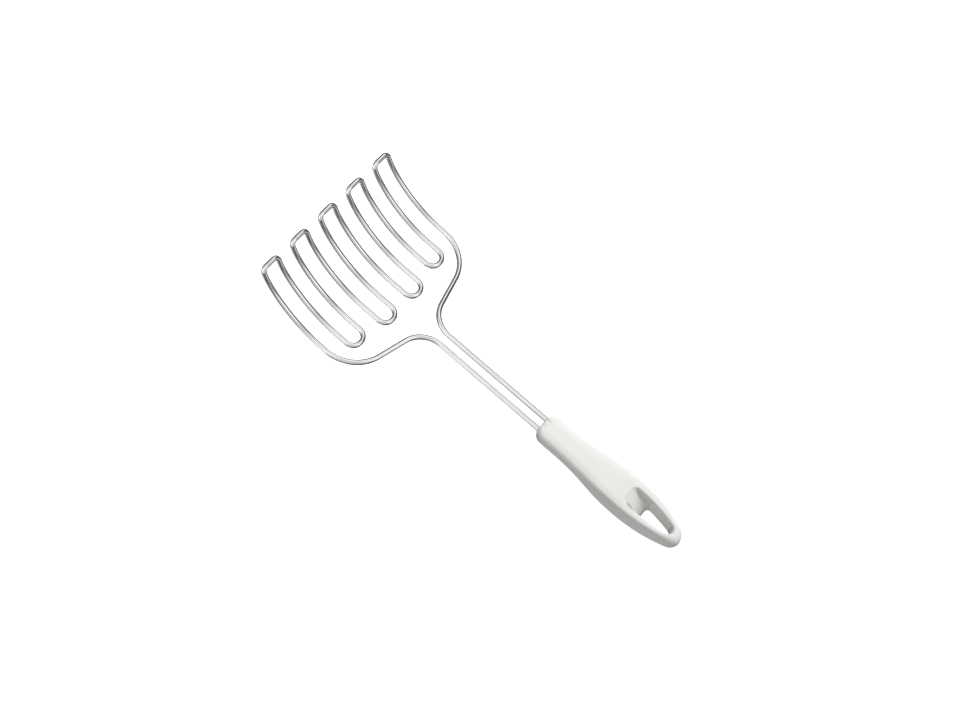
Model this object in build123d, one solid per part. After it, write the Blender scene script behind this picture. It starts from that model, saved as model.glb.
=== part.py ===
from build123d import *
import math
import os

# Wire potato masher: one bent steel wire whose two ends are moulded into a plastic handle.
# Frame: +X from the handle's butt to the head, +Y to the left, +Z up on the side the fingers curl to.
# The origin lies under the middle of the whole length, on the plane of the handle's underside.
# All sizes are in millimetres and degrees.

# Wire and neck
WIRE_DIAMETER = 3.2
NECK_PITCH = 7.7
NECK_LENGTH = 72.1
LEG_DEPTH = 48.0
NECK_BEND_RADIUS = 16.6
FLARE_ANGLE = 76.4
SHOULDER_RADIUS = 24.4

# Fingers of the head
FINGER_COUNT = 5
FINGER_WIDTH = 11.95
FINGER_GAP = 11.75
TIP_CORNER_RADIUS = 3.2
BASE_CORNER_RADIUS = 5.5
OUTER_BASE_REACH = 105.6
INNER_BASE_REACH = 101.9
LOW_CURL_RADIUS = 64.4
LOW_CURL_ANGLE = 44.0
HIGH_CURL_RADIUS = 35.5
HIGH_CURL_ANGLE = 12.0

# Handle outline, seen from above
HANDLE_LENGTH = 101.5
FRONT_WIDTH = 18.4
FRONT_CORNER_RADIUS = 6.4
PALM_WIDTH = 24.8
WAIST_END = 16.0
PALM_CENTRE = 62.0
WAIST_RADIUS = 180.0
TAIL_RADIUS = 106.0

# Handle seen from the side
FRONT_THICKNESS = 8.0
HANDLE_THICKNESS = 11.4
SWELL_START = 20.0
SWELL_END = 59.0
TOP_FALL = 2.8
BOTTOM_RISE_START = 72.0
BOTTOM_RISE = 0.7
DRAFT_ANGLE = 6.0
EDGE_RADIUS = 2.6

# Hang hole, whose front wall is a ramp for the thumb
RAMP_TOP = 61.2
RAMP_BOTTOM = 76.0
HOLE_WIDEST = 65.5
HOLE_HALF_WIDTH = 6.65
HOLE_CORNER_RADIUS = 4.0
HOLE_SIDE_RADIUS = 112.0
HOLE_TIP_RADIUS = 3.9
TOP_RIM_RADIUS = 1.0
BOTTOM_RIM_RADIUS = 1.0
CUT_OVERRUN = 1.2

WIRE_RADIUS = WIRE_DIAMETER / 2
HALF_THICKNESS = HANDLE_THICKNESS / 2
SLACK = 0.01
HEAD_HALF_WIDTH = (FINGER_COUNT * FINGER_WIDTH + (FINGER_COUNT - 1) * FINGER_GAP) / 2
UP = Vector(0, 0, 1)
LEFT = Vector(0, 1, 0)


class WirePath:
    """Centre line of the wire, grown by straight runs and tangent arcs from where it stands."""

    def __init__(self, start, heading):
        self.place = Vector(*start)
        self.heading = Vector(*heading)
        self.edges = []

    def straight(self, length):
        end = self.place + self.heading * length
        self.edges.append(Edge.make_line(self.place, end))
        self.place = end

    def turn(self, radius, angle, axis):
        """Bends the path by the angle about the axis, right-handed, which stands square to the heading."""
        inward = axis.cross(self.heading) * math.copysign(1, angle)
        centre = self.place + inward * radius
        spoke = self.place - centre
        middle = centre + spoke.rotate(Axis((0, 0, 0), axis), angle / 2)
        end = centre + spoke.rotate(Axis((0, 0, 0), axis), angle)
        self.edges.append(Edge.make_three_point_arc(self.place, middle, end))
        self.heading = self.heading.rotate(Axis((0, 0, 0), axis), angle)
        self.place = end


def flare_length():
    """Straight run between the neck bend and the shoulder that brings the wire out to the head's full width."""
    sideways = HEAD_HALF_WIDTH - NECK_PITCH / 2
    in_bends = (NECK_BEND_RADIUS + SHOULDER_RADIUS) * (1 - math.cos(math.radians(FLARE_ANGLE)))
    return (sideways - in_bends) / math.sin(math.radians(FLARE_ANGLE))


def curl_start():
    """Distance from the handle's front to the end of the shoulders, where all the fingers begin to curl up."""
    in_bends = (NECK_BEND_RADIUS + SHOULDER_RADIUS) * math.sin(math.radians(FLARE_ANGLE))
    return NECK_LENGTH + in_bends + flare_length() * math.cos(math.radians(FLARE_ANGLE))


def head_reach():
    """Distance from the handle's front to the foremost point of the finger tips."""
    low = math.radians(LOW_CURL_ANGLE)
    steep = math.radians(LOW_CURL_ANGLE + HIGH_CURL_ANGLE)
    in_curl = LOW_CURL_RADIUS * math.sin(low) + HIGH_CURL_RADIUS * (math.sin(steep) - math.sin(low))
    return curl_start() + in_curl + TIP_CORNER_RADIUS * math.cos(steep) + WIRE_RADIUS


def add_finger(path):
    """One finger: up the left tine, across the tip and back down the right tine to the start of the curl."""
    path.turn(LOW_CURL_RADIUS, LOW_CURL_ANGLE, -LEFT)
    path.turn(HIGH_CURL_RADIUS, HIGH_CURL_ANGLE, -LEFT)
    tip_up = path.heading.cross(LEFT)
    path.turn(TIP_CORNER_RADIUS, -90, tip_up)
    path.straight(FINGER_WIDTH - 2 * TIP_CORNER_RADIUS)
    path.turn(TIP_CORNER_RADIUS, -90, tip_up)
    path.turn(HIGH_CURL_RADIUS, HIGH_CURL_ANGLE, LEFT)
    path.turn(LOW_CURL_RADIUS, LOW_CURL_ANGLE, LEFT)


def add_base_turn(path, reach):
    """The U that joins two neighbouring fingers at the given distance from the handle's front."""
    run = curl_start() - reach - BASE_CORNER_RADIUS
    path.straight(run)
    path.turn(BASE_CORNER_RADIUS, 90, UP)
    path.straight(FINGER_GAP - 2 * BASE_CORNER_RADIUS)
    path.turn(BASE_CORNER_RADIUS, 90, UP)
    path.straight(run)


def masher_wire():
    """The whole wire: leg, neck, shoulder, five fingers and back to the second leg."""
    path = WirePath((-LEG_DEPTH, NECK_PITCH / 2, 0), (1, 0, 0))
    path.straight(LEG_DEPTH + NECK_LENGTH)
    path.turn(NECK_BEND_RADIUS, FLARE_ANGLE, UP)
    path.straight(flare_length())
    path.turn(SHOULDER_RADIUS, -FLARE_ANGLE, UP)
    for finger in range(FINGER_COUNT):
        add_finger(path)
        if finger in (0, FINGER_COUNT - 2):
            add_base_turn(path, OUTER_BASE_REACH)
        elif finger < FINGER_COUNT - 1:
            add_base_turn(path, INNER_BASE_REACH)
    path.turn(SHOULDER_RADIUS, -FLARE_ANGLE, UP)
    path.straight(flare_length())
    path.turn(NECK_BEND_RADIUS, FLARE_ANGLE, UP)
    path.straight(NECK_LENGTH + LEG_DEPTH)
    line = Wire(path.edges)
    return sweep(Plane(line @ 0, z_dir=line % 0) * Circle(WIRE_RADIUS), path=line)


def mirrored_face(half_edges):
    """Closes half an outline, given above the X axis from front to back, into a face mirrored about X."""
    half = Curve() + half_edges
    return make_face(half + mirror(half, about=Plane.XZ))


def handle_outline(inset):
    """Plan of the handle: blunt front, slender waist, wide palm and a tail closing in a round butt.

    The outline lies the inset inside the full one, which is the plan at the middle plane.
    """
    front = FRONT_WIDTH / 2
    palm = PALM_WIDTH / 2
    rise = palm - front
    run = PALM_CENTRE - WAIST_END
    slope = 2 * math.atan(rise / run)
    palm_radius = run / math.sin(slope) - WAIST_RADIUS

    back = HANDLE_LENGTH - PALM_CENTRE
    drop = TAIL_RADIUS - palm
    butt_radius = (TAIL_RADIUS**2 - back**2 - drop**2) / (2 * (TAIL_RADIUS - back))
    bend = math.degrees(slope)
    lean = math.degrees(math.atan2(back - butt_radius, drop))

    corner_x = -FRONT_CORNER_RADIUS
    corner_y = front - FRONT_CORNER_RADIUS
    return mirrored_face(
        [
            Line((-inset, 0), (-inset, corner_y)),
            CenterArc((corner_x, corner_y), FRONT_CORNER_RADIUS - inset, 0, 90),
            Line((corner_x, front - inset), (-WAIST_END, front - inset)),
            CenterArc((-WAIST_END, front + WAIST_RADIUS), WAIST_RADIUS + inset, -90, -bend),
            CenterArc((-PALM_CENTRE, palm - palm_radius), palm_radius - inset, 90, -bend),
            CenterArc((-PALM_CENTRE, -drop), TAIL_RADIUS - inset, 90, lean),
            CenterArc((butt_radius - HANDLE_LENGTH, 0), butt_radius - inset, 90 + lean, 90 - lean),
        ]
    )


def swell_edges(side):
    """S-curve of the top (side 1) or the underside (side -1), from the slim front to the full thickness."""
    slim = side * FRONT_THICKNESS / 2
    full = side * HALF_THICKNESS
    middle = (-(SWELL_START + SWELL_END) / 2, (slim + full) / 2)
    return [
        TangentArc((-SWELL_START, slim), middle, tangent=(-1, 0)),
        TangentArc((-SWELL_END, full), middle, tangent=(1, 0)),
    ]


def handle_profile():
    """Side view of the handle: slim at the front, swelling to the palm, and closing in a little to the butt."""
    slim = FRONT_THICKNESS / 2
    top = HALF_THICKNESS
    butt_top = top - TOP_FALL
    butt_bottom = BOTTOM_RISE - top
    outline = [
        Line((0, -slim), (0, slim)),
        Line((0, slim), (-SWELL_START, slim)),
        *swell_edges(1),
        TangentArc((-SWELL_END, top), (-HANDLE_LENGTH, butt_top), tangent=(-1, 0)),
        Line((-HANDLE_LENGTH, butt_top), (-HANDLE_LENGTH, butt_bottom)),
        TangentArc((-BOTTOM_RISE_START, -top), (-HANDLE_LENGTH, butt_bottom), tangent=(-1, 0)),
        Line((-BOTTOM_RISE_START, -top), (-SWELL_END, -top)),
        *swell_edges(-1),
        Line((-SWELL_START, -slim), (0, -slim)),
    ]
    return Plane.XZ * make_face(Curve() + outline)


def handle_blank():
    """The handle without its hole and sockets: sides drafted from the middle plane, and long edges rounded."""
    height = CUT_OVERRUN * HALF_THICKNESS
    inset = height * math.tan(math.radians(DRAFT_ANGLE))
    upper = loft([handle_outline(0), Pos(0, 0, height) * handle_outline(inset)], ruled=True)
    lower = loft([Pos(0, 0, -height) * handle_outline(inset), handle_outline(0)], ruled=True)
    side = extrude(handle_profile(), PALM_WIDTH, both=True)
    blank = (upper + lower) & side
    outer_edges = []
    for edge in blank.edges():
        middle = edge @ 0.5
        upright = abs((edge % 0.5).Z) > 0.5
        across_face = abs(middle.Y) < SLACK and inset - HANDLE_LENGTH < middle.X < -inset
        parting = abs(middle.Z) < SLACK
        if not upright and not across_face and not parting:
            outer_edges.append(edge)
    return fillet(outer_edges, EDGE_RADIUS)


def hole_outline(front):
    """Plan of the hang hole: straight front with round corners, and bowed sides closing to a round tip."""
    drop = HOLE_SIDE_RADIUS - HOLE_HALF_WIDTH
    corner_x = front + HOLE_CORNER_RADIUS
    corner_lean = math.asin((corner_x - HOLE_WIDEST) / (HOLE_SIDE_RADIUS - HOLE_CORNER_RADIUS))
    corner_y = (HOLE_SIDE_RADIUS - HOLE_CORNER_RADIUS) * math.cos(corner_lean) - drop
    tip_lean = math.acos(drop / (HOLE_SIDE_RADIUS - HOLE_TIP_RADIUS))
    first = math.degrees(corner_lean)
    last = math.degrees(tip_lean)
    return mirrored_face(
        [
            Line((-front, 0), (-front, corner_y)),
            CenterArc((-corner_x, corner_y), HOLE_CORNER_RADIUS, 0, 90 + first),
            CenterArc((-HOLE_WIDEST, -drop), HOLE_SIDE_RADIUS, 90 + first, last - first),
            CenterArc((HOLE_TIP_RADIUS - hole_end(), 0), HOLE_TIP_RADIUS, 90 + last, 90 - last),
        ]
    )


def hole_end():
    """Distance from the handle's front to the end of the hole's round tip."""
    drop = HOLE_SIDE_RADIUS - HOLE_HALF_WIDTH
    return HOLE_WIDEST + math.sqrt((HOLE_SIDE_RADIUS - HOLE_TIP_RADIUS) ** 2 - drop**2) + HOLE_TIP_RADIUS


def hang_hole():
    """Tool that cuts the hang hole: its plan lofted from above the handle to below it, the front wall a ramp."""
    middle = (RAMP_TOP + RAMP_BOTTOM) / 2
    reach = CUT_OVERRUN * (RAMP_BOTTOM - RAMP_TOP) / 2
    height = CUT_OVERRUN * HALF_THICKNESS
    above = Pos(0, 0, height) * hole_outline(middle - reach)
    below = Pos(0, 0, -height) * hole_outline(middle + reach)
    return loft([above, below], ruled=True)


def rim_edges(body, side):
    """Edges where the hang hole meets the top face (side 1) or the underside (side -1)."""
    found = []
    for edge in body.edges():
        ends = [edge @ 0, edge @ 1]
        along = all(-hole_end() - SLACK < end.X < SLACK - RAMP_TOP for end in ends)
        across = all(abs(end.Y) < HOLE_HALF_WIDTH + SLACK for end in ends)
        if along and across and min(side * end.Z for end in ends) > HALF_THICKNESS - TOP_FALL:
            found.append(edge)
    return found


def moulded_handle():
    """The handle with its hang hole, softened hole rims and the two sockets that hold the wire's legs."""
    body = handle_blank() - hang_hole()
    body = fillet(rim_edges(body, 1), TOP_RIM_RADIUS)
    body = fillet(rim_edges(body, -1), BOTTOM_RIM_RADIUS)
    for side in (1, -1):
        mouth = Plane((0, side * NECK_PITCH / 2, 0), z_dir=(-1, 0, 0))
        body -= mouth * Cylinder(WIRE_RADIUS, LEG_DEPTH, align=(Align.CENTER, Align.CENTER, Align.MIN))
    return body


os.makedirs("parts", exist_ok=True)
lift = Pos((HANDLE_LENGTH - head_reach()) / 2, 0, HALF_THICKNESS)
export_step(lift * masher_wire(), "parts/wire.step")
export_step(lift * moulded_handle(), "parts/handle.step")
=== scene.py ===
"""Looks of a wire potato masher: bright bent wire in a moulded white handle, on a pale floor in soft light.

Sizes of the pieces and the camera are millimetres and degrees. Meshes, finishes and the floor are metres,
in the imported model's frame: +X from the handle's butt to the head, +Y to the left, and +Z up on the side
that the fingers curl to.
"""

import logging
import math
from dataclasses import dataclass, field
from enum import Enum
from typing import Any

import bpy
import numpy as np
from mathutils import Matrix, Vector


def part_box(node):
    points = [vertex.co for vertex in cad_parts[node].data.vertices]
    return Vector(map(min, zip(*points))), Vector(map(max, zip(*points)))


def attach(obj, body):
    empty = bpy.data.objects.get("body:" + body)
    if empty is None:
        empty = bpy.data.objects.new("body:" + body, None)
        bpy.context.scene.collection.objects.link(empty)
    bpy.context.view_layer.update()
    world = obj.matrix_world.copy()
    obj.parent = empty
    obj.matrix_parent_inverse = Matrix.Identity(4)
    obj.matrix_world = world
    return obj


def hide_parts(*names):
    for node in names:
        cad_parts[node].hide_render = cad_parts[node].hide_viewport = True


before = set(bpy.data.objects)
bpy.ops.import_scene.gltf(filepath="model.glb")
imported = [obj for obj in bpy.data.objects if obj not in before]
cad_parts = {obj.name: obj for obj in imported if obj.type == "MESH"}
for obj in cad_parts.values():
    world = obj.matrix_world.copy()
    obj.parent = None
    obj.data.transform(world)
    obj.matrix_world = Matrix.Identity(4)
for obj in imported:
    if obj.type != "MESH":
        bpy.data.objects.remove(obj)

MM = 0.001
BODY = "root"
LOG = logging.getLogger("masher")
UP = np.array([0.0, 0.0, 1.0])
LEFT = np.array([0.0, 1.0, 0.0])
WIRE_COORDINATES = "drawn"
# A Mix node has sockets for each kind of value, and these are the numbers of the ones for colours.
COLOUR_MIX_INPUTS = (0, 6, 7)
COLOUR_MIX_RESULT = 2
Triple = tuple[float, float, float]
Pair = tuple[float, float]


class Node(Enum):
    """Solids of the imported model."""

    WIRE = "wire"
    HANDLE = "handle"


class Slot(Enum):
    """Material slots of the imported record."""

    BRIGHT_STEEL = "bright_steel"
    WHITE_PLASTIC = "white_plastic"


class Face(Enum):
    """The handle's two broad faces, by the sign of the direction that they look in."""

    TOP = 1
    UNDERSIDE = -1

    @property
    def order(self) -> int:
        """Place of the face's own value in a pair of sizes, which gives the top first."""
        return 0 if self is Face.TOP else 1


class Signal:
    """A shader socket as a value: arithmetic on it adds Math nodes to its tree."""

    def __init__(self, shader: "Shader", socket: bpy.types.NodeSocket) -> None:
        """Wraps a socket of the shader's tree."""
        self.shader = shader
        self.socket = socket

    def math(self, operation: str, *values: Any) -> "Signal":
        """Adds one Math node.

        Args:
            operation: The node's operation.
            values: Numbers or signals for its sockets, in order.

        Returns:
            The node's result.
        """
        return self.shader.add("ShaderNodeMath", {"operation": operation}, dict(enumerate(values)))

    def __add__(self, other: Any) -> "Signal":
        """This plus a number or signal."""
        return self.math("ADD", self, other)

    def __sub__(self, other: Any) -> "Signal":
        """This less a number or signal."""
        return self.math("SUBTRACT", self, other)

    def __rsub__(self, other: Any) -> "Signal":
        """A number less this."""
        return self.math("SUBTRACT", other, self)

    def __mul__(self, other: Any) -> "Signal":
        """This times a number or signal."""
        return self.math("MULTIPLY", self, other)

    __radd__ = __add__
    __rmul__ = __mul__

    def smooth(self, low: float, high: float) -> "Signal":
        """Eases from 0 where this is at low to 1 where it is at high.

        Args:
            low: Value that gives 0.
            high: Value that gives 1.

        Returns:
            The eased share.
        """
        settings = {"interpolation_type": "SMOOTHSTEP"}
        inputs = {"Value": self, "From Min": low, "From Max": high}
        return self.shader.add("ShaderNodeMapRange", settings, inputs)


class Shader:
    """A node tree that is filled by adding nodes and signals."""

    def __init__(self, tree: bpy.types.NodeTree) -> None:
        """Empties a node tree for filling."""
        tree.nodes.clear()
        self.tree = tree

    def add(
        self, kind: str, settings: dict[str, Any], inputs: dict[Any, Any], output: Any = 0
    ) -> Signal | None:
        """Adds a node of any type.

        Args:
            kind: Blender's name of the node type.
            settings: Properties that are set first.
            inputs: Value or signal of each socket, by the socket's name or number.
            output: Name or number of the wanted output.

        Returns:
            The wanted output, or None where the node ends the tree.
        """
        node = self.tree.nodes.new(kind)
        for name, value in settings.items():
            setattr(node, name, value)
        for name, value in inputs.items():
            if isinstance(value, Signal):
                self.tree.links.new(value.socket, node.inputs[name])
            else:
                node.inputs[name].default_value = value
        return Signal(self, node.outputs[output]) if len(node.outputs) else None

    def object_place(self) -> Signal:
        """Place on the piece in metres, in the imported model's frame."""
        return self.add("ShaderNodeTexCoord", {}, {}, "Object")

    def stretched(self, vector: Signal, factors: Triple) -> Signal:
        """A vector with each of its parts multiplied by its factor."""
        return self.add("ShaderNodeVectorMath", {"operation": "MULTIPLY"}, {0: vector, 1: factors})

    def along(self, vector: Signal, direction: Triple) -> Signal:
        """How far a vector reaches in a direction, which is their dot product."""
        settings = {"operation": "DOT_PRODUCT"}
        return self.add("ShaderNodeVectorMath", settings, {0: vector, 1: direction}, "Value")

    def noise(self, vector: Signal, scale: float, detail: float) -> Signal:
        """Cloudy noise, from 0 to 1.

        Args:
            vector: Coordinates to read.
            scale: Clouds to the unit of the coordinates.
            detail: Octaves of finer clouds.

        Returns:
            The noise.
        """
        inputs = {"Vector": vector, "Scale": scale, "Detail": detail}
        return self.add("ShaderNodeTexNoise", {}, inputs)

    def blend(self, share: Signal, first: Triple, second: Triple) -> Signal:
        """Colour that runs from the first to the second as the share rises from 0 to 1."""
        inputs = dict(zip(COLOUR_MIX_INPUTS, (share, (*first, 1.0), (*second, 1.0))))
        return self.add("ShaderNodeMix", {"data_type": "RGBA"}, inputs, COLOUR_MIX_RESULT)

    def bump(self, height: Signal, depth: float, strength: float) -> Signal:
        """Normal of a relief.

        Args:
            height: The relief, from 0 to 1.
            depth: Its full height in metres.
            strength: Share of the effect.

        Returns:
            The bent normal.
        """
        inputs = {"Strength": strength, "Distance": depth, "Height": height}
        return self.add("ShaderNodeBump", {}, inputs, "Normal")

    def surface(self, inputs: dict[str, Any]) -> None:
        """Ends a material in one principled surface.

        Args:
            inputs: Value or signal of each of the surface's sockets.
        """
        principled = self.add("ShaderNodeBsdfPrincipled", {}, inputs)
        self.add("ShaderNodeOutputMaterial", {}, {"Surface": principled})


def new_material(name: str) -> tuple[bpy.types.Material, Shader]:
    """Makes an empty node material.

    Args:
        name: The material's name.

    Returns:
        The material and its shader.
    """
    material = bpy.data.materials.new(name)
    material.use_nodes = True
    return material, Shader(material.node_tree)


@dataclass(frozen=True)
class BrightWireFinish:
    """Polished drawn steel wire: fine lines along its length and a slightly uneven shine."""

    bright: Triple = (0.74, 0.74, 0.732)
    dull: Triple = (0.67, 0.67, 0.664)
    smoothest: float = 0.06
    roughest: float = 0.14
    line_factors: Triple = (7.0, 7.0, 30.0)
    line_octaves: float = 3.0
    line_depth: float = 0.000006
    line_strength: float = 0.20
    cloud_factors: Triple = (0.8, 0.8, 70.0)
    cloud_octaves: float = 2.0
    line_share: float = 0.5
    wear_range: Pair = (0.36, 0.64)

    def material(self) -> bpy.types.Material:
        """Builds the finish on the wire's own coordinates: cosine and sine round it, and metres along it."""
        material, shader = new_material("bright_drawn_wire")
        place = shader.add("ShaderNodeAttribute", {"attribute_name": WIRE_COORDINATES}, {}, "Vector")
        drawn = shader.noise(shader.stretched(place, self.line_factors), 1.0, self.line_octaves)
        cloudy = shader.noise(shader.stretched(place, self.cloud_factors), 1.0, self.cloud_octaves)
        worn = (drawn * self.line_share + cloudy * (1.0 - self.line_share)).smooth(*self.wear_range)
        shader.surface(
            {
                "Base Color": shader.blend(worn, self.bright, self.dull),
                "Metallic": 1.0,
                "Roughness": worn * (self.roughest - self.smoothest) + self.smoothest,
                "Normal": shader.bump(drawn, self.line_depth, self.line_strength),
            }
        )
        return material


@dataclass(frozen=True)
class WhitePlasticFinish:
    """Glossy moulded plastic: warm white with faint flow clouds, fine orange peel and light rubbing."""

    clean: Triple = (0.84, 0.835, 0.815)
    cloudy: Triple = (0.80, 0.795, 0.772)
    glossiest: float = 0.12
    dullest: float = 0.16
    shine: float = 0.35
    refraction: float = 1.47
    flow_factors: Triple = (26.0, 60.0, 60.0)
    flow_octaves: float = 3.0
    flow_range: Pair = (0.30, 0.70)
    peel_scale: float = 900.0
    peel_octaves: float = 2.0
    peel_depth: float = 0.000012
    peel_strength: float = 0.25
    rub_scale: float = 160.0
    rub_octaves: float = 4.0
    rub_share: float = 0.6
    rub_range: Pair = (0.40, 0.66)

    def material(self) -> bpy.types.Material:
        """Builds the finish on the handle's own place in metres."""
        material, shader = new_material("glossy_white_plastic")
        place = shader.object_place()
        flow = shader.noise(shader.stretched(place, self.flow_factors), 1.0, self.flow_octaves)
        peel = shader.noise(place, self.peel_scale, self.peel_octaves)
        rubbed = shader.noise(place, self.rub_scale, self.rub_octaves)
        rub = (rubbed * self.rub_share + flow * (1.0 - self.rub_share)).smooth(*self.rub_range)
        shader.surface(
            {
                "Base Color": shader.blend(flow.smooth(*self.flow_range), self.clean, self.cloudy),
                "Roughness": rub * (self.dullest - self.glossiest) + self.glossiest,
                "IOR": self.refraction,
                "Specular IOR Level": self.shine,
                "Normal": shader.bump(peel, self.peel_depth, self.peel_strength),
            }
        )
        return material


@dataclass(frozen=True)
class PaleFloorFinish:
    """Plain white paper, lit from within as much as from above so that shadows on it stay faint."""

    light: Triple = (0.86, 0.86, 0.86)
    grey: Triple = (0.83, 0.83, 0.83)
    cloud_scale: float = 40.0
    cloud_octaves: float = 4.0
    cloud_range: Pair = (0.3, 0.7)
    glow: float = 0.90
    roughness: float = 0.9

    def material(self) -> bpy.types.Material:
        """Builds the finish with faint clouds in the paper."""
        material, shader = new_material("pale_paper")
        clouds = shader.noise(shader.object_place(), self.cloud_scale, self.cloud_octaves)
        shader.surface(
            {
                "Base Color": shader.blend(clouds.smooth(*self.cloud_range), self.light, self.grey),
                "Roughness": self.roughness,
                "Emission Color": (1.0, 1.0, 1.0, 1.0),
                "Emission Strength": self.glow,
            }
        )
        return material


@dataclass(frozen=True)
class GridSurface:
    """A surface on a grid of points in metres, rows by columns, whose columns close into a ring.

    Going to the next column and then to the next row turns left as seen from outside.
    Rows close into a ring too, or else the first and last row are capped with one face each.
    """

    points: np.ndarray
    rows_close: bool

    def faces(self) -> list[list[int]]:
        """Corner numbers of every face: (i, j), (i, j+1), (i+1, j+1), (i+1, j), and the caps."""
        rows, columns = self.points.shape[:2]
        number = np.arange(rows * columns).reshape(rows, columns)
        ahead = np.roll(number, -1, axis=0)
        quads = np.stack(
            [number, np.roll(number, -1, axis=1), np.roll(ahead, -1, axis=1), ahead], axis=-1
        )
        if self.rows_close:
            return quads.reshape(-1, 4).tolist()
        return [*quads[:-1].reshape(-1, 4).tolist(), number[0, ::-1].tolist(), number[-1].tolist()]

    def to_object(self, name: str, material: bpy.types.Material) -> bpy.types.Object:
        """Puts the surface into a smooth mesh object at the origin.

        Args:
            name: Name of the object and its mesh.
            material: The surface's finish.

        Returns:
            The object, linked to the scene.
        """
        mesh = bpy.data.meshes.new(name)
        mesh.from_pydata(self.points.reshape(-1, 3), [], self.faces(), shade_flat=False)
        mesh.materials.append(material)
        piece = bpy.data.objects.new(name, mesh)
        bpy.context.scene.collection.objects.link(piece)
        return piece


def turned(vector: np.ndarray, axis: np.ndarray, angles: np.ndarray) -> np.ndarray:
    """Turns a vector about an axis k by each angle a: v cos a + (k x v) sin a + k (k . v)(1 - cos a).

    Args:
        vector: The vector.
        axis: The axis, of length one.
        angles: Angles in radians.

    Returns:
        One turned vector to a row.
    """
    cosine = np.cos(angles)[:, None]
    sine = np.sin(angles)[:, None]
    return vector * cosine + np.cross(axis, vector) * sine + axis * (axis @ vector) * (1.0 - cosine)


@dataclass
class WirePath:
    """Centre line of a bent wire, grown by straight runs and bends from where it stands.

    A row of stations keeps a centre, its heading, a side direction that is carried along without twist,
    the direction to the inside of its bend, and the share by which the bend flattens the wire there.
    COLUMNS says where in a row each of these but the first begins.
    """

    COLUMNS = (3, 6, 9, 12)

    place: np.ndarray
    heading: np.ndarray
    side: np.ndarray
    wire_radius: float
    straight_step: float = 4.0
    bend_step: float = 1.2
    bend_angle: float = 4.0
    flattening: float = 0.10
    stations: list[np.ndarray] = field(default_factory=list)

    def straight(self, length: float) -> None:
        """Runs straight on: p = p0 + s h.

        Args:
            length: Length of the run.
        """
        count = max(1, math.ceil(length / self.straight_step))
        travel = np.linspace(0.0, length, count, endpoint=False)[:, None]
        centres = self.place + travel * self.heading
        fixed = np.tile(np.hstack([self.heading, self.side, self.side, 0.0]), (count, 1))
        self.stations.append(np.hstack([centres, fixed]))
        self.place = self.place + length * self.heading

    def turn(self, radius: float, angle: float, axis: np.ndarray) -> None:
        """Bends round a centre c, about an axis square to the heading: p = c + turned(p0 - c).

        Args:
            radius: Radius of the bend's centre line.
            angle: Angle of the bend, right-handed about the axis.
            axis: Axis of the bend, of length one.
        """
        sweep = math.radians(angle)
        inward = math.copysign(1.0, angle) * np.cross(axis, self.heading)
        centre = self.place + radius * inward
        by_length = math.ceil(abs(sweep) * radius / self.bend_step)
        share = np.linspace(0.0, 1.0, max(by_length, math.ceil(abs(angle) / self.bend_angle)) + 1)
        spokes = turned(self.place - centre, axis, sweep * share)
        headings = turned(self.heading, axis, sweep * share)
        sides = turned(self.side, axis, sweep * share)
        pinch = self.flattening * np.sin(np.pi * share)[:, None] * self.wire_radius / radius
        rows = np.hstack([centre + spokes, headings, sides, -spokes / radius, pinch])
        self.stations.append(rows[:-1])
        self.place, self.heading, self.side = np.split(rows[-1], self.COLUMNS)[:3]

    def close(self) -> None:
        """Keeps the station where the path ends."""
        self.stations.append(np.hstack([self.place, self.heading, self.side, self.side, 0.0])[None])

    def tube(self, sides: int) -> tuple[np.ndarray, np.ndarray]:
        """Carries a round section along the path, a little flattened at its bends.

        A point is c + r (u - e (u . i) i + e/2 (u . b) b) with u = cos(f) s + sin(f) (h x s), where h is
        the heading, s the side, i the way to the inside of the bend, b = h x i, and e the flattening.

        Args:
            sides: Points round the section.

        Returns:
            Points by station and place round the section, and the wire's coordinates there:
            cosine and sine round it, and length along it.
        """
        rows = np.vstack(self.stations)
        centres, headings, side_ways, inward, pinch = np.split(rows[:, None], self.COLUMNS, axis=-1)
        turns = np.linspace(0.0, 2.0 * np.pi, sides, endpoint=False)[None, :, None]
        across = np.cos(turns) * side_ways + np.sin(turns) * np.cross(headings, side_ways)
        binormal = np.cross(headings, inward)
        into = np.sum(across * inward, axis=-1, keepdims=True)
        over = np.sum(across * binormal, axis=-1, keepdims=True)
        section = across - pinch * into * inward + pinch / 2.0 * over * binormal
        steps = np.linalg.norm(np.diff(centres[:, 0], axis=0), axis=-1)
        length = np.hstack([0.0, np.cumsum(steps)])[:, None, None]
        shape = (len(rows), sides, 1)
        parts = [np.broadcast_to(part, shape) for part in (np.cos(turns), np.sin(turns), length)]
        return centres + self.wire_radius * section, np.concatenate(parts, axis=-1)


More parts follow.
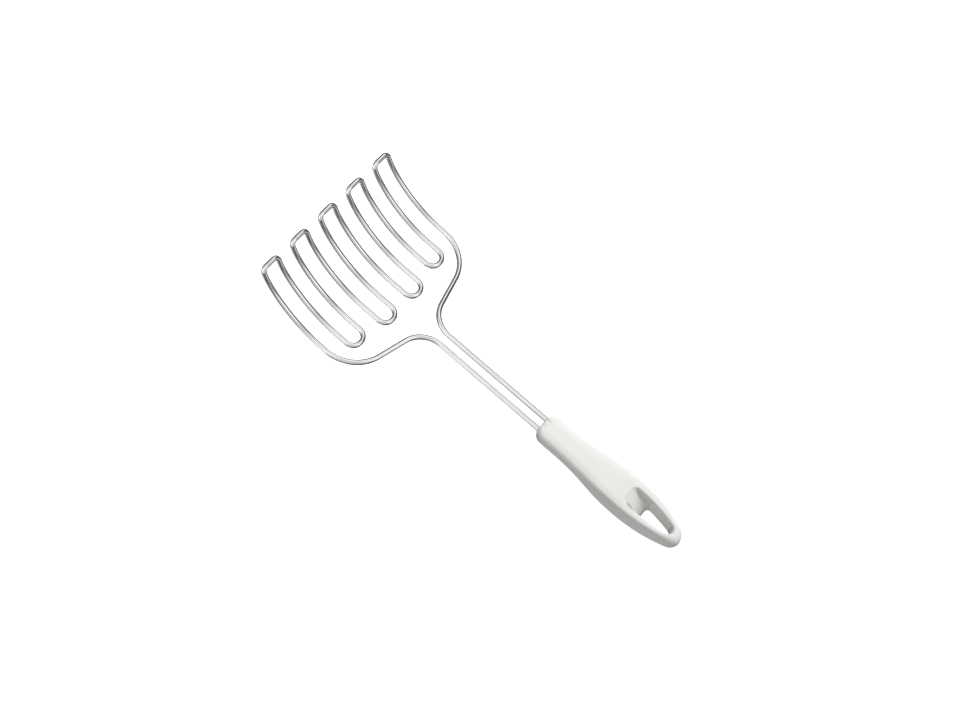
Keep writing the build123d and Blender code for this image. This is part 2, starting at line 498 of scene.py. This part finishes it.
@dataclass(frozen=True)
class WireHead:
    """The masher's one wire: two legs in the handle, a twin neck, shoulders and five curled fingers."""

    radius: float = 1.6
    sides: int = 32
    neck_pitch: float = 7.7
    neck_length: float = 72.1
    leg_depth: float = 48.0
    neck_bend_radius: float = 16.6
    flare_angle: float = 76.4
    shoulder_radius: float = 24.4
    finger_count: int = 5
    finger_width: float = 11.95
    finger_gap: float = 11.75
    tip_corner_radius: float = 3.2
    base_corner_radius: float = 5.5
    outer_base_reach: float = 105.6
    inner_base_reach: float = 101.9
    low_curl_radius: float = 64.4
    low_curl_angle: float = 44.0
    high_curl_radius: float = 35.5
    high_curl_angle: float = 12.0

    def flare_length(self) -> float:
        """Straight run between neck bend and shoulder that brings the wire out to the head's full width."""
        gaps = self.finger_count - 1
        half_width = (self.finger_count * self.finger_width + gaps * self.finger_gap) / 2
        flare = math.radians(self.flare_angle)
        in_bends = (self.neck_bend_radius + self.shoulder_radius) * (1.0 - math.cos(flare))
        return (half_width - self.neck_pitch / 2 - in_bends) / math.sin(flare)

    def curl_start(self) -> float:
        """Distance from the handle's front to the end of the shoulders, where the fingers begin to curl."""
        flare = math.radians(self.flare_angle)
        in_bends = (self.neck_bend_radius + self.shoulder_radius) * math.sin(flare)
        return self.neck_length + in_bends + self.flare_length() * math.cos(flare)

    def add_finger(self, path: WirePath) -> None:
        """Adds one finger: up its left tine, across the tip and down its right tine."""
        path.turn(self.low_curl_radius, self.low_curl_angle, -LEFT)
        path.turn(self.high_curl_radius, self.high_curl_angle, -LEFT)
        tip_up = np.cross(path.heading, LEFT)
        path.turn(self.tip_corner_radius, -90.0, tip_up)
        path.straight(self.finger_width - 2 * self.tip_corner_radius)
        path.turn(self.tip_corner_radius, -90.0, tip_up)
        path.turn(self.high_curl_radius, self.high_curl_angle, LEFT)
        path.turn(self.low_curl_radius, self.low_curl_angle, LEFT)

    def add_base_turn(self, path: WirePath, reach: float) -> None:
        """Adds the U between two fingers.

        Args:
            path: The wire so far, at the end of a finger.
            reach: Distance from the handle's front to the middle of the U's wire.
        """
        run = self.curl_start() - reach - self.base_corner_radius
        path.straight(run)
        path.turn(self.base_corner_radius, 90.0, UP)
        path.straight(self.finger_gap - 2 * self.base_corner_radius)
        path.turn(self.base_corner_radius, 90.0, UP)
        path.straight(run)

    def path(self) -> WirePath:
        """The whole centre line, from one leg round all the fingers to the other leg."""
        start = np.array([-self.leg_depth, self.neck_pitch / 2, 0.0])
        path = WirePath(start, np.array([1.0, 0.0, 0.0]), LEFT, self.radius)
        path.straight(self.leg_depth + self.neck_length)
        path.turn(self.neck_bend_radius, self.flare_angle, UP)
        path.straight(self.flare_length())
        path.turn(self.shoulder_radius, -self.flare_angle, UP)
        for finger in range(self.finger_count):
            self.add_finger(path)
            if finger in (0, self.finger_count - 2):
                self.add_base_turn(path, self.outer_base_reach)
            elif finger < self.finger_count - 1:
                self.add_base_turn(path, self.inner_base_reach)
        path.turn(self.shoulder_radius, -self.flare_angle, UP)
        path.straight(self.flare_length())
        path.turn(self.neck_bend_radius, self.flare_angle, UP)
        path.straight(self.neck_length + self.leg_depth)
        path.close()
        return path

    def build(self, front: np.ndarray, finish: BrightWireFinish) -> bpy.types.Object:
        """Builds the wire in place of its solid.

        Args:
            front: Middle of the handle's front face in metres.
            finish: The wire's finish.

        Returns:
            The wire's object.
        """
        points, coordinates = self.path().tube(self.sides)
        piece = GridSurface(front + MM * points, False).to_object("bent_wire", finish.material())
        coordinates[..., 2] *= MM
        drawn = piece.data.attributes.new(WIRE_COORDINATES, "FLOAT_VECTOR", "POINT")
        drawn.data.foreach_set("vector", coordinates.astype(np.float32).ravel())
        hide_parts(Node.WIRE.value)
        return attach(piece, BODY)


@dataclass(frozen=True)
class StraightEdge:
    """Straight stretch of an outline, walked with the outside on the right."""

    start: Pair
    end: Pair

    def walk(self, count: int) -> tuple[np.ndarray, np.ndarray]:
        """Points p = a + t (b - a), without the last one, and the outward normals there."""
        start, end = np.array(self.start), np.array(self.end)
        share = np.linspace(0.0, 1.0, count, endpoint=False)[:, None]
        along = (end - start) / np.linalg.norm(end - start)
        return start + share * (end - start), np.tile([along[1], -along[0]], (count, 1))


@dataclass(frozen=True)
class ArcEdge:
    """Round stretch of an outline. A hollow one has its centre outside."""

    centre: Pair
    radius: float
    first: float
    sweep: float
    hollow: bool = False

    def walk(self, count: int) -> tuple[np.ndarray, np.ndarray]:
        """Points p = c + r (cos a, sin a), without the last one, and the outward normals there."""
        angles = np.radians(self.first + np.linspace(0.0, self.sweep, count, endpoint=False))
        spokes = np.stack([np.cos(angles), np.sin(angles)], axis=-1)
        return np.array(self.centre) + self.radius * spokes, -spokes if self.hollow else spokes


@dataclass(frozen=True)
class Outline:
    """A closed plan that is the same on both sides of the X axis.

    Its edges go from the front, at the axis, along the left side to the back end, again at the axis.
    """

    edges: tuple[StraightEdge | ArcEdge, ...]
    counts: tuple[int, ...]
    back: float

    def walk(self) -> tuple[np.ndarray, np.ndarray]:
        """Points and outward normals once round: the left half, then its mirror image walked back."""
        walks = [edge.walk(count) for edge, count in zip(self.edges, self.counts)]
        points = np.vstack([*(walk[0] for walk in walks), [[self.back, 0.0]]])
        normals = np.vstack([*(walk[1] for walk in walks), [[-1.0, 0.0]]])
        flip = np.array([1.0, -1.0])
        return np.vstack([points, points[-2:0:-1] * flip]), np.vstack([normals, normals[-2:0:-1] * flip])


def raised(plan: np.ndarray, height: np.ndarray) -> np.ndarray:
    """Points of a plan at the given heights."""
    return np.concatenate([plan, np.broadcast_to(height, plan.shape[:-1])[..., None]], axis=-1)


def unit(vectors: np.ndarray) -> np.ndarray:
    """Vectors brought to length one."""
    return vectors / np.linalg.norm(vectors, axis=-1, keepdims=True)


def eased(share: np.ndarray) -> np.ndarray:
    """Share from 0 to 1 that sets off and arrives level: t^2 (3 - 2 t)."""
    return share**2 * (3.0 - 2.0 * share)


def rim_round(
    corner: np.ndarray, face: np.ndarray, wall: np.ndarray, radius: float, steps: int
) -> np.ndarray:
    """Rounds the rim where a face meets a wall.

    With b the angle between the two, the round touches them r / tan(b/2) from the corner, and its centre
    is r / sin(b/2) out on their bisector. Its spokes turn evenly from the face's to the wall's.

    Args:
        corner: Points of the sharp rim, one to a column.
        face: Directions of length one from the rim along the face.
        wall: Directions of length one from the rim along the wall.
        radius: Radius of the round.
        steps: Steps from the face to the wall.

    Returns:
        Points by step and column.
    """
    half = np.arccos(np.clip(np.sum(face * wall, axis=-1, keepdims=True), -1.0, 1.0)) / 2.0
    centre = corner + unit(face + wall) * radius / np.sin(half)
    first = (corner + face * radius / np.tan(half) - centre) / radius
    last = (corner + wall * radius / np.tan(half) - centre) / radius
    share = np.linspace(0.0, 1.0, steps + 1)[:, None, None]
    turn = np.pi - 2.0 * half
    spokes = (np.sin((1.0 - share) * turn) * first + np.sin(share * turn) * last) / np.sin(turn)
    return centre + radius * spokes


@dataclass(frozen=True)
class MouldedHandle:
    """The white handle: slim front, full palm, round butt, and a hang hole whose front wall is a ramp.

    A pair of sizes is the top's and the underside's. END_SLOPE is the slope that a parabola of height one
    over a chord of one has at its ends.
    """

    END_SLOPE = 4.0

    length: float = 101.5
    front_width: float = 18.4
    front_corner_radius: float = 6.4
    palm_width: float = 24.8
    waist_end: float = 16.0
    palm_centre: float = 62.0
    waist_radius: float = 180.0
    tail_radius: float = 106.0
    front_thickness: float = 8.0
    half_heights: Pair = (6.3, 5.7)
    swell_start: float = 20.0
    swell_end: float = 59.0
    fall_starts: Pair = (59.0, 72.0)
    falls: Pair = (2.15, 0.7)
    foot_inset: float = 0.05
    tail_lean: float = 0.13
    top_roll: float = 0.20
    roll_width: float = 4.0
    roll_start: float = 8.0
    roll_end: float = 80.0
    roll_fade: float = 24.0
    edge_radius: float = 3.0
    tail_edge_radii: Pair = (1.6, 3.2)
    butt_edge_radii: Pair = (5.5, 3.2)
    butt_lean: float = 0.15
    butt_run: float = 6.0
    ramp_top: float = 61.2
    ramp_bottom: float = 76.0
    ramp_crowns: Pair = (0.8, 3.0)
    hole_widest: float = 65.5
    hole_half_width: float = 6.35
    hole_corner_radii: Pair = (3.6, 2.4)
    hole_side_radius: float = 117.0
    hole_offset: float = 0.4
    hole_tip_radius: float = 3.5
    rim_radii: Pair = (1.0, 1.0)
    outline_counts: tuple[int, ...] = (8, 30, 26, 44, 22, 80, 40)
    hole_counts: tuple[int, ...] = (40, 90, 80, 40)
    side_steps: int = 8
    edge_steps: int = 12
    face_steps: int = 24
    rim_steps: int = 10
    rim_passes: int = 6
    wall_steps: int = 17

    def outline(self) -> Outline:
        """Plan of the handle: blunt front, slender waist, wide palm and a tail closing in a round butt."""
        front, palm = self.front_width / 2, self.palm_width / 2
        run = self.palm_centre - self.waist_end
        slope = 2.0 * math.atan((palm - front) / run)
        palm_radius = run / math.sin(slope) - self.waist_radius
        back = self.length - self.palm_centre
        drop = self.tail_radius - palm
        butt_radius = (self.tail_radius**2 - back**2 - drop**2) / (2.0 * (self.tail_radius - back))
        bend = math.degrees(slope)
        lean = math.degrees(math.atan2(back - butt_radius, drop))
        corner = self.front_corner_radius
        edges = (
            StraightEdge((0.0, 0.0), (0.0, front - corner)),
            ArcEdge((-corner, front - corner), corner, 0.0, 90.0),
            StraightEdge((-corner, front), (-self.waist_end, front)),
            ArcEdge((-self.waist_end, front + self.waist_radius), self.waist_radius, -90.0, -bend, True),
            ArcEdge((-self.palm_centre, palm - palm_radius), palm_radius, 90.0 - bend, bend),
            ArcEdge((-self.palm_centre, -drop), self.tail_radius, 90.0, lean),
            ArcEdge((butt_radius - self.length, 0.0), butt_radius, 90.0 + lean, 90.0 - lean),
        )
        return Outline(edges, self.outline_counts, -self.length)

    def hole_outline(self, front: float, corner_radius: float) -> Outline:
        """Plan of the hang hole: straight front with round corners, and bowed sides closing to a round tip.

        Args:
            front: Distance from the handle's front to the hole's straight front.
            corner_radius: Radius of the two corners.

        Returns:
            The plan.
        """
        drop = self.hole_side_radius - self.hole_half_width
        corner_x = front + corner_radius
        inner = self.hole_side_radius - corner_radius
        corner_lean = math.asin((corner_x - self.hole_widest) / inner)
        corner_y = inner * math.cos(corner_lean) - drop
        tip_reach = self.hole_side_radius - self.hole_tip_radius
        first, last = math.degrees(corner_lean), math.degrees(math.acos(drop / tip_reach))
        tip_x = self.hole_widest + math.sqrt(tip_reach**2 - drop**2)
        edges = (
            StraightEdge((-front, 0.0), (-front, corner_y)),
            ArcEdge((-corner_x, corner_y), corner_radius, 0.0, 90.0 + first),
            ArcEdge((-self.hole_widest, -drop), self.hole_side_radius, 90.0 + first, last - first),
            ArcEdge((-tip_x, 0.0), self.hole_tip_radius, 90.0 + last, 90.0 - last),
        )
        return Outline(edges, self.hole_counts, -tip_x - self.hole_tip_radius)

    def face_height(self, x: np.ndarray, face: Face) -> tuple[np.ndarray, np.ndarray]:
        """Height and slope of a broad face: slim, up an S of two arcs to the palm, down an arc to the butt.

        An arc of radius R has moved b(d) = R - sqrt(R^2 - d^2) off its tangent after a run d along it.

        Args:
            x: Places along the handle, from 0 at the front to minus its length.
            face: The face.

        Returns:
            Heights over the middle plane, and their change with x.
        """
        fall_start, fall = self.fall_starts[face.order], self.falls[face.order]
        half_run = (self.swell_end - self.swell_start) / 2.0
        half_rise = (self.half_heights[face.order] - self.front_thickness / 2.0) / 2.0
        back = self.length - fall_start
        swell_radius = (half_run**2 + half_rise**2) / (2.0 * half_rise)
        fall_radius = (back**2 + fall**2) / (2.0 * fall)
        into = np.clip(-x - self.swell_start, 0.0, half_run)
        ahead = np.clip(self.swell_end + x, 0.0, half_run)
        past = np.maximum(-x - fall_start, 0.0)
        swell = half_rise + np.sqrt(swell_radius**2 - ahead**2) - np.sqrt(swell_radius**2 - into**2)
        left = np.sqrt(fall_radius**2 - past**2)
        steep = np.minimum(into, ahead)
        height = self.front_thickness / 2.0 + swell - fall_radius + left
        slope = past / left - steep / np.sqrt(swell_radius**2 - steep**2)
        return face.value * height, face.value * slope

    def tail_share(self, x: np.ndarray) -> np.ndarray:
        """Share that eases from 0 at the slim front to 1 from the palm to the butt."""
        return eased(np.clip((-x - self.swell_start) / (self.swell_end - self.swell_start), 0.0, 1.0))

    def lean(self, x: np.ndarray, normals: np.ndarray) -> np.ndarray:
        """Angle by which the side leans in from its foot to the top, in radians: most at the butt's end."""
        at_end = np.clip(-normals[:, 0], 0.0, 1.0) ** 2
        return np.arctan(self.tail_lean * self.tail_share(x) + self.butt_lean * at_end)

    def long_edge_radius(self, x: np.ndarray, face: Face) -> np.ndarray:
        """Radius of the long edges' round: the front's, then the tail's, then by e^(-d / run) the butt's."""
        tail, butt = self.tail_edge_radii[face.order], self.butt_edge_radii[face.order]
        at_butt = np.exp(-(self.length + x) / self.butt_run)
        return self.edge_radius + (tail - self.edge_radius) * self.tail_share(x) + (butt - tail) * at_butt

    def roll_share(self, x: np.ndarray) -> np.ndarray:
        """Share that eases from 1 along the grip to 0 beside the hole."""
        return eased(np.clip((self.roll_end + x) / self.roll_fade, 0.0, 1.0))

    def roll(self, x: np.ndarray, face: Face) -> np.ndarray:
        """Slope across a broad face where it meets its edge round: on top only, between front and tail."""
        start = np.clip(-x / self.roll_start, 0.0, 1.0)
        slope = self.top_roll if face is Face.TOP else 0.0
        return slope * start * self.roll_share(x)

    def sag(self, plan: np.ndarray, border: np.ndarray, face: Face) -> np.ndarray:
        """How far a broad face has sunk near its border: q b/2 (1 - d/b)^2.

        Here q is the slope at the border, b the width of the sunken band and d the distance from the border.

        Args:
            plan: Points on the face.
            border: Points once round where the face meets its edge round.
            face: The face.

        Returns:
            The depths.
        """
        left = border[len(border) // 2 :: -1]
        reach = np.interp(plan[..., 0], left[:, 0], left[:, 1])
        width = self.roll_width * (1.0 + self.roll_share(plan[..., 0])) / 2.0
        band = np.maximum(1.0 - (reach - np.abs(plan[..., 1])) / width, 0.0)
        return self.roll(plan[..., 0], face) * width / 2.0 * band**2

    def edge_round(self, plan: np.ndarray, normals: np.ndarray, face: Face) -> np.ndarray:
        """Round from the side to a broad face.

        With l the lean, f the radius of the round at the foot and h the height over that round's centre, a
        point at an angle a over the horizon lies f (1 - 1 / cos l) + h tan l + r / cos l - r cos a inside
        the foot. The round begins square to the side and ends square to the face.

        Args:
            plan: Points of the outline.
            normals: Outward normals of the outline.
            face: The face.

        Returns:
            Points by step from the side to the face and place round the outline.
        """
        x = plan[:, 0]
        lean = self.lean(x, normals)
        radius, foot_radius = (self.long_edge_radius(x, which) for which in (face, Face.UNDERSIDE))
        centre = self.face_height(x, face)[0] - face.value * radius
        foot_centre = self.face_height(x, Face.UNDERSIDE)[0] + foot_radius
        tilt = np.arctan(self.roll(x, face))
        angles = np.linspace(face.value * lean, np.pi / 2.0 - tilt, self.edge_steps + 1)
        foot = self.foot_inset * (1.0 - np.clip(normals[:, 0], 0.0, 1.0)) + foot_radius
        inset = foot + (centre - foot_centre) * np.tan(lean) + (radius - foot_radius) / np.cos(lean)
        inner = plan - (inset - radius * np.cos(angles))[..., None] * normals
        sunk = self.sag(inner[-1], inner[-1], face) + radius * (np.cos(tilt) - np.sin(angles))
        return raised(inner, self.face_height(inner[..., 0], face)[0] - face.value * sunk)

    def hole_corner(self, high: np.ndarray, low: np.ndarray, face: Face) -> np.ndarray:
        """Sharp rim of the hole, where the lines from its upper plan to its lower plan meet a broad face.

        Args:
            high: Points of the hole's plan over the handle.
            low: Points of the hole's plan under the handle.
            face: The face.

        Returns:
            Points of the rim.
        """
        corner = (high + low) / 2.0
        for _ in range(self.rim_passes):
            level = self.face_height(corner[:, 0], face)[0]
            corner = high + ((high[:, 2] - level) / (high[:, 2] - low[:, 2]))[:, None] * (low - high)
        return corner

    def hole_rim(
        self, corner: np.ndarray, wall: np.ndarray, normals: np.ndarray, face: Face
    ) -> tuple[np.ndarray, np.ndarray]:
        """Round between a broad face and the hole's wall.

        Args:
            corner: Points of the sharp rim.
            wall: Directions from the rim along the wall.
            normals: Normals of the plan on this face's side, out of the hole.
            face: The face.

        Returns:
            Points by step from the face to the wall and place round the hole, and the directions of length
            one in which the wall goes on.
        """
        slope = self.face_height(corner[:, 0], face)[1]
        across = raised(np.stack([-normals[:, 1], normals[:, 0]], axis=-1), np.zeros(len(normals)))
        onward = unit(wall - np.sum(wall * across, axis=-1, keepdims=True) * across)
        outward = unit(raised(normals, slope * normals[:, 0]))
        return rim_round(corner, outward, onward, self.rim_radii[face.order], self.rim_steps), onward

    def hole_wall(self, plans: tuple[Outline, Outline]) -> tuple[np.ndarray, np.ndarray, np.ndarray]:
        """The hole's two rims and its wall, which is crowned on the ramp.

        A line of the wall is the cubic that leaves both rims in their own directions. The crowns lift those
        directions the more, the further the line travels in plan, so the ramp falls gently and then steeply.

        Args:
            plans: The hole's plan over and under the handle.

        Returns:
            Points of the upper rim, the wall and the lower rim, by step down and place round the hole.
        """
        (high_plan, high_normals), (low_plan, low_normals) = (plan.walk() for plan in plans)
        offset = self.hole_offset * LEFT
        high = raised(high_plan, np.array(self.half_heights[0])) + offset
        low = raised(low_plan, np.array(-self.half_heights[1])) + offset
        top_corner = self.hole_corner(high, low, Face.TOP)
        low_corner = self.hole_corner(high, low, Face.UNDERSIDE)
        drop = low_corner - top_corner
        run = self.ramp_bottom - self.ramp_top
        ramp = math.atan2(sum(self.half_heights), run)
        travel = raised(drop[:, :2], np.array(0.0)) / run
        lift = math.cos(ramp) * np.linalg.norm(travel, axis=-1, keepdims=True) * UP + math.sin(ramp) * travel
        high_crown, low_crown = (self.END_SLOPE * crown * lift for crown in self.ramp_crowns)
        top_rim, downward = self.hole_rim(top_corner, drop + high_crown, high_normals, Face.TOP)
        low_rim, upward = self.hole_rim(low_corner, low_crown - drop, low_normals, Face.UNDERSIDE)
        share = np.linspace(0.0, 1.0, self.wall_steps + 1)[1:-1, None, None]
        span = np.linalg.norm(low_rim[-1] - top_rim[-1], axis=-1, keepdims=True)
        wall = top_rim[-1] + eased(share) * (low_rim[-1] - top_rim[-1])
        wall = wall + span * share * (1.0 - share) * ((1.0 - share) * downward + share * upward)
        return top_rim, wall, low_rim

    def broad_face(self, outer: np.ndarray, inner: np.ndarray, face: Face) -> np.ndarray:
        """A broad face between its edge round and the hole's rim, on straight lines across the plan.

        Args:
            outer: Last points of the edge round.
            inner: First points of the hole's rim.
            face: The face.

        Returns:
            Points by step inwards and place round the outline, without the two borders.
        """
        turn = np.linspace(0.0, np.pi, self.face_steps + 1)[1:-1, None, None]
        share = 0.5 - 0.5 * np.cos(turn)
        border = outer[:, :2]
        plan = border + share * (inner - outer)[:, :2]
        level = self.face_height(plan[..., 0], face)[0]
        return raised(plan, level - face.value * self.sag(plan, border, face))

    def points(self) -> np.ndarray:
        """The whole surface: up the side, over the top, down through the hole and back under."""
        plan, normals = self.outline().walk()
        fronts = (self.ramp_top, self.ramp_bottom)
        high_plan, low_plan = (self.hole_outline(*ends) for ends in zip(fronts, self.hole_corner_radii))
        top_rim, wall, low_rim = self.hole_wall((high_plan, low_plan))
        top_edge = self.edge_round(plan, normals, Face.TOP)
        low_edge = self.edge_round(plan, normals, Face.UNDERSIDE)
        rise = np.linspace(0.0, 1.0, self.side_steps + 1)[:, None, None]
        side = low_edge[0] + rise * (top_edge[0] - low_edge[0])
        top = self.broad_face(top_edge[-1], top_rim[0], Face.TOP)
        underside = self.broad_face(low_edge[-1], low_rim[0], Face.UNDERSIDE)
        return np.concatenate(
            [side, top_edge[1:], top, top_rim, wall, low_rim[::-1], underside[::-1], low_edge[:0:-1]]
        )

    def build(self, front: np.ndarray, finish: WhitePlasticFinish) -> bpy.types.Object:
        """Builds the handle in place of its solid.

        Args:
            front: Middle of the handle's front face in metres.
            finish: The handle's finish.

        Returns:
            The handle's object.
        """
        grid = front + MM * self.points()
        piece = GridSurface(grid[::-1], True).to_object("moulded_handle", finish.material())
        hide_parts(Node.HANDLE.value)
        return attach(piece, BODY)


@dataclass(frozen=True)
class SoftBox:
    """A soft lamp far away: its place in the sky, half width, level, and the share that is full bright."""

    azimuth: float
    elevation: float
    half_width: float
    level: float
    core: float = 0.35

    def way(self) -> Triple:
        """Direction to the lamp, with azimuth 0 along +X and 90 along +Y."""
        around, over = math.radians(self.azimuth), math.radians(self.elevation)
        return math.cos(around) * math.cos(over), math.sin(around) * math.cos(over), math.sin(over)

    def shine(self, shader: Shader, direction: Signal) -> Signal:
        """Light of the lamp from a direction: full in its core, and eased to nothing at its edge.

        Args:
            shader: The world's shader.
            direction: The direction, of length one.

        Returns:
            The light's level.
        """
        edge = math.cos(math.radians(self.half_width))
        core = math.cos(math.radians(self.core * self.half_width))
        return shader.along(direction, self.way()).smooth(edge, core) * self.level


@dataclass(frozen=True)
class LightTent:
    """Soft studio light from all round with one key light, and the pale floor under the object.

    Matt surfaces get an even light that is a little stronger overhead, and the key light. Glossy ones
    mirror a bright canopy about the camera, a dim room round it, and soft boxes in that room.
    """

    even: float = 0.48
    rise: float = 0.29
    key: SoftBox = SoftBox(270.0, 36.0, 28.0, 2.45)
    canopy: SoftBox = SoftBox(100.2, 62.0, 71.0, 0.88, 0.69)
    room: float = 0.19
    boxes: tuple[SoftBox, ...] = (
        SoftBox(60.0, 0.0, 40.0, 1.33),
        SoftBox(285.0, 45.0, 25.0, 1.51),
        SoftBox(195.0, 45.0, 25.0, 1.14),
        SoftBox(330.0, -45.0, 25.0, 2.13),
        SoftBox(75.0, 60.0, 25.0, 0.63),
        SoftBox(105.0, -60.0, 25.0, 1.34),
        SoftBox(195.0, 0.0, 25.0, 0.75),
        SoftBox(76.0, -42.0, 9.0, 3.0),
    )
    floor_half_side: float = 6.0
    floor_drop: float = 0.0004

    def build_world(self) -> None:
        """Fills the scene's world with the even light, the canopy and the soft boxes."""
        world = bpy.data.worlds.new("light_tent")
        bpy.context.scene.world = world
        world.use_nodes = True
        shader = Shader(world.node_tree)
        direction = shader.add("ShaderNodeTexCoord", {}, {}, "Generated")
        matt = shader.along(direction, tuple(UP)) * self.rise + self.even
        glossy = self.canopy.shine(shader, direction) + self.room
        for box in self.boxes:
            glossy = glossy + box.shine(shader, direction)
        is_glossy = shader.add("ShaderNodeLightPath", {}, {}, "Is Glossy Ray")
        is_camera = shader.add("ShaderNodeLightPath", {}, {}, "Is Camera Ray")
        level = matt + is_glossy * (glossy - matt)
        level = level + is_camera * (1.0 - level)
        lit = shader.add("ShaderNodeBackground", {}, {"Strength": level})
        shader.add("ShaderNodeOutputWorld", {}, {"Surface": lit})

    def build_key(self) -> None:
        """Hangs the key light, which matt surfaces catch and glossy ones don't mirror."""
        data = bpy.data.lights.new("key_light", "SUN")
        data.energy = self.key.level
        data.angle = math.radians(2.0 * self.key.half_width)
        data.cycles.max_bounces = 0
        light = bpy.data.objects.new("key_light", data)
        light.rotation_euler = Vector(self.key.way()).to_track_quat("Z", "Y").to_euler()
        light.visible_glossy = False
        bpy.context.scene.collection.objects.link(light)

    def build_floor(self, finish: PaleFloorFinish) -> None:
        """Lays the floor under the object. Only the camera sees it, so it doesn't tint the object."""
        half, level = self.floor_half_side, -self.floor_drop
        corners = [(-half, -half, level), (half, -half, level), (half, half, level), (-half, half, level)]
        mesh = bpy.data.meshes.new("pale_floor")
        mesh.from_pydata(corners, [], [(0, 1, 2, 3)])
        mesh.materials.append(finish.material())
        floor = bpy.data.objects.new("pale_floor", mesh)
        bpy.context.scene.collection.objects.link(floor)
        floor.visible_diffuse = False
        floor.visible_glossy = False
        floor.visible_shadow = False


@dataclass(frozen=True)
class PhotographView:
    """The camera at the photograph's viewing angle, aimed from over the left side."""

    azimuth: float = 190.136
    elevation: float = 61.979
    roll: float = 31.730
    distance: float = 970.40
    aim: Triple = (16.20, -5.16, 5.70)
    lens: float = 64.354
    sensor: float = 36.0

    def build(self) -> None:
        """Makes the scene's camera: back axis by azimuth and elevation, then turned about it by the roll."""
        around, over = math.radians(self.azimuth), math.radians(self.elevation)
        level = math.cos(over)
        back = Vector((math.sin(around) * level, -math.cos(around) * level, math.sin(over)))
        across = Vector((0.0, 0.0, 1.0)).cross(back).normalized()
        right = Matrix.Rotation(math.radians(self.roll), 3, back) @ across
        data = bpy.data.cameras.new("photograph_view")
        data.lens = self.lens
        data.sensor_width = self.sensor
        camera = bpy.data.objects.new("photograph_view", data)
        turn = Matrix((right, back.cross(right), back)).transposed().to_4x4()
        place = MM * (Vector(self.aim) + self.distance * back)
        camera.matrix_world = Matrix.Translation(place) @ turn
        bpy.context.scene.collection.objects.link(camera)
        bpy.context.scene.camera = camera


def main() -> None:
    """Builds the wire, the handle, the light and the camera, in that order."""
    logging.basicConfig(level=logging.INFO, format="%(name)s: %(message)s")
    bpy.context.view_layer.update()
    low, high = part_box(Node.HANDLE.value)
    front = np.array([high.x, 0.0, (low.z + high.z) / 2.0])
    bpy.context.scene.view_settings.view_transform = "Standard"
    PhotographView().build()
    for piece in (
        WireHead().build(front, BrightWireFinish()),
        MouldedHandle().build(front, WhitePlasticFinish()),
    ):
        LOG.info("%s: %d faces", piece.name, len(piece.data.polygons))
    tent = LightTent()
    tent.build_world()
    tent.build_key()
    tent.build_floor(PaleFloorFinish())


if __name__ == "__main__":
    main()
